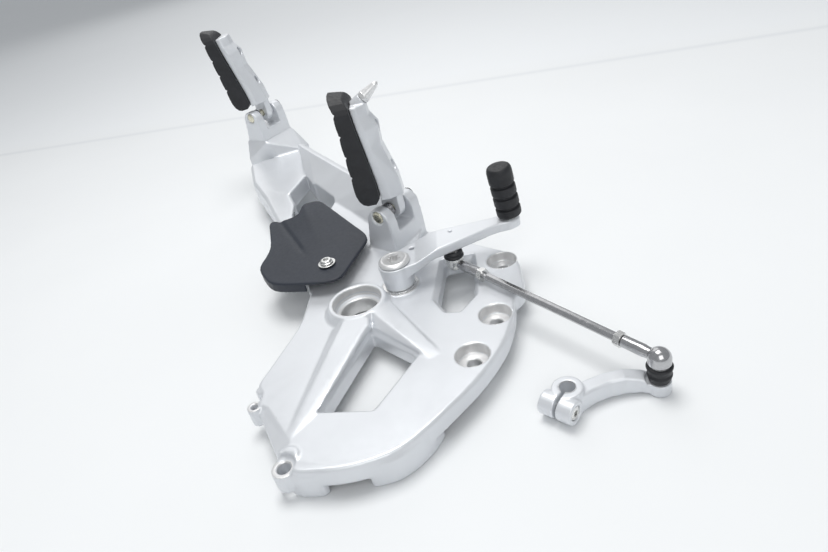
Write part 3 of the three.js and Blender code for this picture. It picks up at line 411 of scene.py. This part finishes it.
def driven_head(name, matrix, outer, drive, depth, shank, sides=72):
    """A screw: outer is the head's outline from its underside up to the rim of the recess, drive(angle) is
    the recess's radius, and shank is (radius, length)."""
    rings = []

    def ring(rule, z):
        rings.append(
            [
                (rule(2 * math.pi * j / sides) * math.cos(2 * math.pi * j / sides),
                 rule(2 * math.pi * j / sides) * math.sin(2 * math.pi * j / sides), z)
                for j in range(sides)
            ]
        )

    r, length = shank
    base = outer[0][1]
    ring(lambda a: r * 0.8, base - length)
    ring(lambda a: r, base - length + 0.6)
    ring(lambda a: r, base)
    for rr, z in fillet(outer):
        ring(lambda a, rr=rr: rr, z)
    top = outer[-1][1]
    ring(lambda a: drive(a) + 0.35, top)
    ring(drive, top - 0.3)
    ring(drive, top - depth)
    ring(lambda a: drive(a) * 0.3, top - depth - 0.3)
    return ring_mesh(name, matrix, rings)


def star(r, wave):
    """Radius rule of a six-lobe recess."""
    return lambda a: r + wave * math.cos(6 * a)


def allen(corner):
    """Radius rule of a hexagon recess of that corner radius."""
    rule = hexagon(corner)
    return lambda a: rule(a, corner * 2, 0)


# ------------------------------------------------------------------ castings and mouldings


def hanger():
    """The casting, with thin machined linings in its bores, seats and tabs."""
    mesh = soften("hanger_casting", 1.0, 7, keep=0.26)
    add_piece("hanger_cast", mesh, "silver", "hanger", "hanger_casting", angle=60)
    bore = fillet(
        [(21.3, 7.0), (21.3, 8.03, 0.25), (20.9, 8.03, 0.2), (20.2, 7.2, 0.3), (20.2, 2.4), (21.0, 2.2),
         (21.0, 0.9), (20.2, 0.7), (20.2, -1.9, 0.4), (16.8, -1.95, 0.3), (15.9, -2.7, 0.3),
         (15.9, -15.6, 0.3), (16.6, -16.0)],
        2,
    )
    outside = [(17.0, -16.0), (17.0, -3.0), (21.3, -3.0)]
    mesh = turned("pivot_bore", at(*BORE), bore + outside, 96, closed=True)
    add_piece("pivot_bore_machining", mesh, "machined", "hanger", angle=30)
    for number, (x, y) in enumerate(BOLT_HOLES, 1):
        seat = fillet(
            [(13.1, -0.7), (13.1, 0.03, 0.1), (12.9, 0.03, 0.1), (12.2, -0.7, 0.2), (12.2, -8.6, 1.4),
             (6.1, -8.95, 0.1), (5.3, -9.6, 0.2), (5.3, -15.7)],
            3,
        )
        outside = [(5.8, -15.7), (5.8, -9.6), (13.1, -9.6)]
        mesh = turned(f"bolt_seat_{number}", at(x, y), seat + outside, 72, closed=True)
        add_piece(f"bolt_seat_{number}_machining", mesh, "machined", "hanger", angle=40)
    tabs = (("small", SMALL_TAB, 5.2, 2.6, -1.0, -15.0), ("large", LARGE_TAB, 8.1, 4.7, -4.0, -18.0))
    for label, (x, y), r, hole, top, low in tabs:
        profile = fillet(
            [(r, top - 0.6), (r, top + 0.05, 0.3), (hole + 0.8, top + 0.05, 0.1), (hole, top - 0.7, 0.1),
             (hole, low)],
            3,
        ) + [(hole + 0.5, low), (hole + 0.5, top - 0.6)]
        mesh = turned(f"tab_{label}", at(x, y), profile, 48, closed=True)
        add_piece(f"tab_{label}_machining", mesh, "machined", "hanger", angle=40)
    profile = [(16.2, 0.6), (16.2, 1.44, 0.3), (6.4, 1.44, 0.3), (5.5, 0.8), (5.5, -14.0), (6.0, -14.0),
               (6.0, 0.6)]
    mesh = turned("lever_pad", at(*LEVER_PIVOT), profile, 72, closed=True)
    add_piece("lever_pad_machining", mesh, "machined", "hanger", angle=40)


def smoothstep(t):
    t = np.clip(t, 0, 1)
    return t * t * (3 - 2 * t)


# The guard's crease runs down from the notch of its outline; the ridge beside it runs to the screw.
CREASE = ((-85.6, 134.7), (-48.0, 60.0))
RIDGE = ((-53.0, 126.0), (-29.0, 52.0))


def relief(points):
    """The heel guard's moulded relief: a sunk crease, a flank that rises to the ridge, and a plateau."""
    x, y = points[:, 0], points[:, 1]

    def beside(line):
        (ax, ay), (bx, by) = line
        length = math.hypot(bx - ax, by - ay)
        ux, uy = (bx - ax) / length, (by - ay) / length
        return (x - ax) * ux + (y - ay) * uy, (x - ax) * -uy + (y - ay) * ux, length

    run, crease_side, length = beside(CREASE)
    _, ridge_side, _ = beside(RIDGE)
    fade = 1 - smoothstep(run / length)
    fade = np.where(run < 0, 1.0, fade)
    width = np.maximum(crease_side - ridge_side, 4.0)
    rise = smoothstep(crease_side / width) * 3.0 * fade
    valley = -1.5 * np.exp(-((crease_side / 2.6) ** 2)) * smoothstep((length - run) / 25)
    crown = 0.5 * np.exp(-((ridge_side / 3.5) ** 2)) * fade
    bow = -0.72 * smoothstep((-crease_side - 10) / 45)
    out = points.copy()
    out[:, 2] += rise + valley + crown + bow
    return out


def guard():
    """The heel guard with its washer and button-head screw."""
    mesh = soften("heel_guard", 0.7, 4, keep=0.5, shape=relief)
    add_piece("heel_guard_moulding", mesh, "plastic", "hanger", "heel_guard", angle=60)
    seat = 13 + 0.06 * HEEL_SCREW[1]
    ring = [(3.3, seat + 0.55), (8.0, seat + 0.55, 0.3), (8.0, seat + 1.7, 0.4), (3.3, seat + 1.7)]
    mesh = turned("washer", at(*HEEL_SCREW), fillet(ring, 3), 64, closed=True)
    add_piece("heel_guard_washer_disc", mesh, "zinc", "hanger", "heel_guard_washer")
    s = seat + 2
    outer = [(5.9, s, 0.1), (6.1, s + 0.3, 0.2), (6.1, s + 0.9, 0.3), (5.0, s + 1.2, 0.4),
             (4.9, s + 2.8, 0.8), (3.3, s + 3.0)]
    mesh = driven_head("heel_screw", at(*HEEL_SCREW), outer, allen(2.5), 1.8, (2.9, 18))
    add_piece("heel_guard_button_screw", mesh, "zinc", "hanger", "heel_guard_screw")


# ------------------------------------------------------------------ pegs


def peg(prefix, pin, lean, feeler):
    """One folding peg with its pad, screws and hinge parts; the rider's has a spring and a wear bolt."""
    body = f"{prefix}_peg"
    mesh = soften(f"{prefix}_peg_body", 0.6, 5, keep=0.4)
    add_piece(f"{prefix}_peg_casting", mesh, "silver", body, f"{prefix}_peg_body", angle=60)
    mesh = soften(f"{prefix}_peg_pad", 0.45, 2, keep=0.4)
    add_piece(f"{prefix}_peg_rubber", mesh, "rubber", body, f"{prefix}_peg_pad", angle=60)
    for where, height in PAD_SCREWS:
        share = min(1, max(0, (height - PAD_BEND) / PAD_RUN))
        seat = PAD_BACK_LOW + PAD_LEAN * share + PAD_SEAT_DEPTH
        outer = [(2.4, seat, 0), (4.6, seat, 0.2), (4.6, seat + 2.2, 0.6), (3.2, seat + 3.0, 0.3)]
        mesh = driven_head("pad_screw", side_bar(pin, lean, height), outer, allen(2.2), 1.6, (2.4, 12.5), 48)
        add_piece(f"{prefix}_pad_screw_{where}_turned", mesh, "zinc", body, f"{prefix}_pad_screw_{where}")

    on_hinge = hinge(pin)
    half = PIN_HALF
    head = -half + 2.3
    profile = [(3.0, head - 2.2, 0.2), (4.4, head - 2.0, 0.6), (5.6, head - 1.4, 0.8), (5.6, head, 0.1),
               (4.0, head), (4.0, half + 1.0, 0.1), (3.0, half + 1.0), (3.0, half + 2.4), (4.0, half + 2.4),
               (4.0, half + 3.4, 0.3), (3.2, half + 4.0)]
    mesh = turned(f"{prefix}_pin", on_hinge, profile, 48)
    add_piece(f"{prefix}_peg_pin_turned", mesh, "yellow_zinc", "hanger", f"{prefix}_peg_pin")
    clip(prefix, on_hinge, half + 1.15)
    if feeler:
        coil(prefix, on_hinge)
        wear_bolt(pin)
    else:
        ring = fillet([(4.35, -10.7), (7.0, -10.7, 0.2), (7.0, -9.5, 0.2), (4.35, -9.5)], 3)
        mesh = turned("wave_washer", on_hinge, ring, 48, closed=True)
        add_piece("pillion_peg_friction_disc", mesh, "dark", "hanger", "pillion_peg_friction_washer")


def clip(prefix, matrix, start):
    """An open retaining clip in the groove of a hinge pin: a flat band bent round the pin."""
    rings = []
    steps = 44
    for i in range(steps + 1):
        a = math.radians(118 + (422 - 118) * i / steps)
        wide = 6.4 - (0.9 if i % 14 == 7 else 0.0)
        c, s = math.cos(a), math.sin(a)
        rings.append([(r * c, r * s, z) for r, z in
                      ((3.3, start), (wide, start), (wide, start + 1.1), (3.3, start + 1.1))])
    mesh = ring_mesh(f"{prefix}_clip", matrix, rings)
    add_piece(f"{prefix}_peg_pin_e_clip", mesh, "dark", "hanger", f"{prefix}_peg_pin_clip")


def tube(name, matrix, points, r, sides=12):
    """A round wire through points."""
    rings = []
    normal = None
    for i, point in enumerate(points):
        ahead = Vector(points[min(i + 1, len(points) - 1)]) - Vector(points[max(i - 1, 0)])
        ahead.normalize()
        if normal is None:
            normal = ahead.orthogonal().normalized()
        normal = (normal - ahead * normal.dot(ahead)).normalized()
        other = ahead.cross(normal)
        rings.append(
            [
                tuple(Vector(point) + r * (math.cos(a) * normal + math.sin(a) * other))
                for a in (2 * math.pi * k / sides for k in range(sides))
            ]
        )
    return ring_mesh(name, matrix, rings)


def coil(prefix, matrix):
    """The torsion spring round a hinge pin, with one straight tail."""
    points = []
    turns, steps = 4, 30
    for i in range(turns * steps + 1):
        a = 2 * math.pi * i / steps
        z = -10.6 + 6.2 * i / (turns * steps)
        points.append((6.0 * math.cos(a), -6.0 * math.sin(a), z))
    tail = [(6.0, 9.0 - 1.5 * k, -10.6) for k in range(6)]
    mesh = tube("spring", matrix, tail + points, 0.78)
    add_piece(f"{prefix}_peg_torsion_spring", mesh, "dark", "hanger", f"{prefix}_peg_spring")


def wear_bolt(pin):
    """The tapered wear bolt at the rider peg's outer end."""
    matrix = along(Vector(pin) + FEELER_START, FEELER_AXIS)
    profile = [(2.3, -7.0), (2.9, -6.4), (2.9, 5.2), (5.7, 5.2, 0.2), (5.7, 8.2, 0.5), (5.1, 8.5, 0.6),
               (2.75, 20.6, 1.2), (1.9, 22.3, 0.9), (0.5, 23.2)]
    six = hexagon(5.8)
    mesh = turned("feeler", matrix, profile, 72, radius=lambda a, r, z: six(a, r, z) if z < 8.4 else r)
    add_piece("rider_feeler_bolt_turned", mesh, "machined", "rider_peg", "rider_feeler_bolt")


# ------------------------------------------------------------------ gear lever and linkage


def lever():
    """The gear lever, what it turns on, and its toe peg."""
    mesh = soften("gear_lever", 0.6, 5, keep=0.4)
    add_piece("gear_lever_casting", mesh, "silver", "lever", "gear_lever", angle=60)
    x, y = LEVER_PIVOT
    ring = fillet([(7.35, 2.4), (8.95, 2.4, 0.3), (8.95, 24.3, 0.3), (7.35, 24.3)], 3)
    mesh = turned("bush", at(x, y), ring, 72, closed=True)
    add_piece("lever_bush_turned", mesh, "bronze", "hanger", "lever_bush")
    ring = fillet([(6.0, 1.6), (15.0, 1.6, 0.2), (15.0, 2.2, 0.2), (6.0, 2.2)], 3)
    mesh = turned("thrust", at(x, y), ring, 72, closed=True)
    add_piece("lever_thrust_disc", mesh, "zinc", "hanger", "lever_thrust_washer")
    seat = 24.6
    outer = [(7.0, seat, 0), (13.2, seat, 0.2), (13.4, seat + 0.4, 0.2), (13.4, seat + 1.6, 0.5),
             (11.2, seat + 3.2, 1.0), (9.4, seat + 3.4, 0.4), (8.6, seat + 3.15, 0.3), (6.6, seat + 3.15)]
    mesh = driven_head("pivot_screw", at(x, y), outer, star(4.7, 1.15), 4.4, (7.0, 22.0), 120)
    add_piece("lever_pivot_torx_screw", mesh, "machined", "hanger", "lever_pivot_screw", angle=28)
    toe_frame = at(*LEVER_END, TOE_SEAT) @ Matrix.Rotation(TOE_TILT, 4, "Y")
    profile = [(3.6, -9.0), (4.4, -8.4), (4.4, 0.0), (7.8, 0.0, 0.2), (8.0, 0.8, 0.2), (5.0, 0.8),
               (5.0, 40.6, 0.4), (3.8, 41.0)]
    mesh = turned("toe_pin", toe_frame, profile, 48)
    add_piece("toe_peg_pin_turned", mesh, "zinc", "lever", "toe_peg_pin")
    toe_rubber(toe_frame)


def toe_rubber(matrix):
    """The grooved rubber on the lever's toe peg, with a nearly flat crown."""
    r = TOE_R
    profile = [(5.4, 1.0), (8.9, 1.0, 0.8), (10.2, 1.5, 0.8), (r, 3.4, 1.0)]
    for z in TOE_GROOVES:
        profile += [(r, z - 1.6, 0.7), (r - 2.0, z - 0.8, 0.3), (r - 2.0, z + 0.8, 0.3), (r, z + 1.6, 0.7)]
    profile += [(r, 42.8, 1.2), (r - 0.7, 45.6, 1.2), (8.6, 46.8, 0.8), (4.2, 46.95, 2.0), (2.2, 46.6, 0.8),
                (0.6, 46.6)]
    mesh = turned("toe_rubber", matrix, profile, 96, steps=5)
    add_piece("toe_peg_sleeve", mesh, "rubber", "lever", "toe_peg_rubber", angle=50)


def linkage():
    """Both ball joints, and the threaded rod with its lock nuts between them."""
    lever_reach = LEVER_UNDERSIDE - LEVER_BALL.z - 0.3
    arm_reach = ARM_BALL.z - ARM_TOP - 0.3
    stud("lever", LEVER_BALL, 1, lever_reach, 6, "lever")
    stud("arm", ARM_BALL, -1, arm_reach, 8, "clamp_arm")
    socket("lever", LEVER_BALL, 1, LINK_AXIS, 30.0)
    socket("arm", ARM_BALL, -1, -LINK_AXIS, 27.0)
    thread_r, pitch = 2.5, 0.9
    start, end = 39.0, LINK_LENGTH - 33.0
    stations = [(thread_r, 18.2)] + [(thread_r, 18.4 + (start - 18.4) * k / 110) for k in range(111)]
    far_end = LINK_LENGTH - 15.2
    barrel = [(3.4, start, 0.4), (3.4, end, 0.4)]
    tail = [(thread_r, end + (far_end - end) * k / 110) for k in range(111)] + [(thread_r, far_end + 0.1)]
    six, ridge = hexagon(3.5), thread(thread_r, 0.35, pitch)

    def section(a, r, z):
        return six(a, r, z) if start - 0.01 <= z <= end + 0.01 and r > thread_r + 0.05 else ridge(a, r, z)

    mesh = turned("rod", along(LEVER_BALL, LINK_AXIS), stations + barrel + tail, 36, radius=section)
    add_piece("link_rod_threaded", mesh, "chrome", "link", "link_rod")
    for label, low in (("lever", 30.3), ("arm", LINK_LENGTH - 27.0 - 5.3)):
        outline = fillet(
            [(2.8, low + 0.4), (3.3, low), (5.2, low, 0.1), (5.75, low + 0.55, 0.1), (5.75, low + 4.45, 0.1),
             (5.2, low + 5.0, 0.1), (3.3, low + 5.0), (2.8, low + 4.6)],
            2,
        )
        mesh = turned("nut", along(LEVER_BALL, LINK_AXIS), outline, 72, closed=True, radius=hexagon(5.7))
        add_piece(f"link_lock_nut_{label}", mesh, "zinc", "link", f"link_jam_nut_{label}", angle=25)


def facing(centre, side):
    """A ball joint's frame: Z up when side is 1, and down when it is -1."""
    return at(*centre) @ (Matrix.Identity(4) if side > 0 else Matrix.Rotation(math.pi, 4, "X"))


def ball_arc(r, first, last, steps):
    """Profile points on a ball of radius r, between two angles in degrees from its lowest point."""
    angles = (math.radians(first + (last - first) * k / steps) for k in range(steps + 1))
    return [(r * math.sin(a), -r * math.cos(a)) for a in angles]


def stud(label, centre, side, reach, shank, body):
    """Ball, neck, hexagon collar and threaded shank of a ball stud."""
    matrix = facing(centre, side)
    profile = ball_arc(4.8, 6, 143, 14)
    profile += [(2.9, reach - 2.4), (5.1, reach - 2.4, 0.1), (5.5, reach - 2.0, 0.1),
                (5.5, reach - 0.3, 0.1), (5.2, reach)]
    low, high = reach, reach + shank
    profile += [(3.0, low + (high - low) * k / 60) for k in range(61)] + [(2.2, high + 0.01)]
    six, ridge = hexagon(5.4), thread(3.0, 0.35, 1.0)

    def section(a, r, z):
        if z >= low and 2.9 < r < 3.1:
            return ridge(a, r, z)
        return six(a, r, z) if z > reach - 2.5 else r

    mesh = turned("stud", matrix, profile, 48, radius=section)
    add_piece(f"{label}_ball_stud_turned", mesh, "zinc", body, f"{label}_ball_stud", angle=30)
    boot(label, matrix, reach)


def boot(label, matrix, reach):
    """Pleated rubber boot between a socket's mouth and the stud's collar."""
    top = reach - 0.4
    middle = (5.5 + top) / 2
    outside = [(6.2, 5.5), (7.4, 5.45, 0.3), (8.5, 5.9, 0.6), (8.6, 7.0, 0.6), (7.2, middle - 0.3, 0.7),
               (8.2, middle + 1.1, 0.7), (6.9, top - 0.3, 0.4), (5.8, top)]
    inside = [(6.3, middle + 1.0), (6.0, middle - 0.3), (6.2, 6.2)]
    mesh = turned("boot", matrix, fillet(outside, 4) + inside, 64, closed=True)
    add_piece(f"{label}_ball_bellows", mesh, "rubber", "link", f"{label}_ball_boot", angle=60)


def socket(label, centre, side, direction, sleeve_end):
    """Rod end of a ball joint: a ball-shaped housing with a bead at its mouth, necked into a sleeve."""
    matrix = facing(centre, side)
    outside = ball_arc(7.6, 2, 90, 20) + [(7.6, 3.6, 0.4), (7.25, 4.2, 0.2), (7.25, 5.15, 0.3), (6.6, 5.2)]
    rings = fillet(outside, 3) + [(4.6, 5.2)] + ball_arc(5.2, 118, 2, 18)
    mesh = turned("housing", matrix, rings, 64)
    finish = "chrome" if label == "arm" else "zinc"
    add_piece(f"link_ball_housing_{label}", mesh, finish, "link", f"link_rod_end_{label}", angle=35)
    profile = [(2.85, 12.0), (2.85, sleeve_end), (3.9, sleeve_end, 0.1), (4.4, sleeve_end - 0.5, 0.2),
               (4.4, 11.4, 1.0), (4.05, 9.6, 0.8), (3.9, 6.6), (2.85, 6.6)]
    mesh = turned("sleeve", along(centre, direction), fillet(profile, 3), 48, closed=True)
    add_piece(f"link_sleeve_{label}", mesh, "chrome", "link", angle=35)


def selector():
    """The split clamp arm with its pinch screw and the lining of its bore."""
    mesh = soften("selector_arm", 0.6, 5, keep=0.5)
    add_piece("selector_arm_casting", mesh, "silver", "clamp_arm", "selector_arm", angle=60)
    slit = CLAMP_SLIT
    axis = Vector((-slit.y, slit.x, 0))
    origin = Vector((*ARM_CLAMP, CLAMP_PINCH_Z)) + slit * CLAMP_PINCH_OUT
    outer = [(3.0, 7.3, 0), (4.9, 7.3, 0.2), (4.9, 11.3, 0.5), (3.4, 11.8)]
    mesh = driven_head("cap_screw", along(origin, axis), outer, allen(2.4), 2.2, (3.0, 17.5), 48)
    add_piece("selector_clamp_cap_screw", mesh, "zinc", "clamp_arm", "selector_clamp_screw")
    ring = [(5.45, -6.4), (5.45, -24.6), (5.65, -24.6), (5.65, -6.4)]
    start = math.atan2(slit.y, slit.x) + 0.28
    rings = []
    for i in range(61):
        a = start + (2 * math.pi - 0.56) * i / 60
        rings.append([(r * math.cos(a), r * math.sin(a), z) for r, z in ring])
    mesh = ring_mesh("splines", at(*ARM_CLAMP), rings)
    add_piece("selector_bore_machining", mesh, "machined", "clamp_arm")


hanger()
guard()
peg("rider", RIDER_PIN, 0.0, True)
peg("pillion", PILLION_PIN, PILLION_LEAN, False)
lever()
linkage()
selector()

# ------------------------------------------------------------------ floor, light and camera


# The backdrop's edge on the floor: a line this far from the row frame's origin, along this normal, metres.
BACKDROP_NORMAL = (0.1933, 0.9812, 0.0)
BACKDROP_AT = 0.52
FLOOR_HALF = 25.0

# The camera in the datum's frame, mm, and its lens on a 36 mm sensor.
CAMERA_AT = Vector((114.2, -438.4, 294.6))
CAMERA_FORWARD = Vector((-0.117, 0.836, -0.536))
CAMERA_RIGHT = Vector((0.977, 0.0, -0.213))
LENS_MM = 27.57


def floor_material():
    """Pale paper with painted shade where the backdrop starts: a faint dark line, and a bluish-grey tone
    beyond it.
    """
    shader = Shader("pale_floor", (0.86, 0.875, 0.885), 0.62, 0.0, Specular_IOR_Level=0.2)
    across = shader.add("ShaderNodeVectorMath", operation="DOT_PRODUCT")
    link(shader.tree, shader.coord, across.inputs[0])
    across.inputs[1].default_value = BACKDROP_NORMAL
    # Painted shade: past the backdrop's edge the floor takes a bluish-grey tone that stands in for the
    # backdrop's shading.
    painted_backdrop_shade = shader.ranged(across.outputs["Value"], 0.0, 0.6, BACKDROP_AT, BACKDROP_AT + 0.06)
    near_line = shader.math("ABSOLUTE", shader.math("SUBTRACT", across.outputs["Value"], BACKDROP_AT), 0.0)
    # Painted shade: a thin darker line along the backdrop's edge, standing in for the shade in the seam.
    line = shader.ranged(near_line, 0.35, 0.0, 0.0, 0.012)
    # The painted tints: the backdrop's painted shade, then the painted seam line.
    painted_tints = ((painted_backdrop_shade, (0.88, 0.90, 0.92)), (line, (0.66, 0.685, 0.72)))
    return shader.finish(0.012, 300.0, 0.03, 30.0, 0.01, 1.0, painted_tints=painted_tints)


def stage():
    """Floor, even sky and three soft boxes."""
    size = FLOOR_HALF
    mesh = bpy.data.meshes.new("floor")
    corners = [(-size, -size), (size, -size), (size, size), (-size, size)]
    mesh.from_pydata([(x, y, -0.0005) for x, y in corners], [], [(0, 1, 2, 3)])
    floor = bpy.data.objects.new("floor", mesh)
    bpy.context.scene.collection.objects.link(floor)
    mesh.materials.append(floor_material())

    world = bpy.data.worlds.new("studio")
    bpy.context.scene.world = world
    world.use_nodes = True
    background = world.node_tree.nodes["Background"]
    background.inputs["Color"].default_value = (0.94, 0.97, 1.0, 1.0)
    background.inputs["Strength"].default_value = 0.42

    # name, place, side in metres, watts
    lamps = (
        ("overhead", (-0.05, 0.15, 1.6), 0.8, 14.5),
        ("far_box", (-0.4, 2.4, 1.55), 2.0, 11.0),
        ("front_fill", (0.25, -1.7, 1.45), 1.3, 11.0),
    )
    for name, where, side, power in lamps:
        lamp = bpy.data.lights.new(name, "AREA")
        lamp.size = side
        lamp.energy = power
        lamp.color = (1.0, 0.995, 0.985)
        obj = bpy.data.objects.new(name, lamp)
        obj.location = where
        obj.rotation_euler = Vector(where).to_track_quat("Z", "Y").to_euler()
        bpy.context.scene.collection.objects.link(obj)


def camera():
    """The photo's camera."""
    data = bpy.data.cameras.new("camera")
    data.sensor_width = 36.0
    data.lens = LENS_MM
    data.clip_end = 50.0
    obj = bpy.data.objects.new("camera", data)
    forward = CAMERA_FORWARD.normalized()
    up = CAMERA_RIGHT.cross(forward).normalized()
    right = forward.cross(up).normalized()
    turn = Matrix((right, up, -forward)).transposed().to_4x4()
    obj.matrix_world = Matrix.Translation(CAMERA_AT / 1000 + DATUM) @ turn
    bpy.context.scene.collection.objects.link(obj)
    bpy.context.scene.camera = obj
    bpy.context.scene.view_settings.view_transform = "Standard"


stage()
camera()
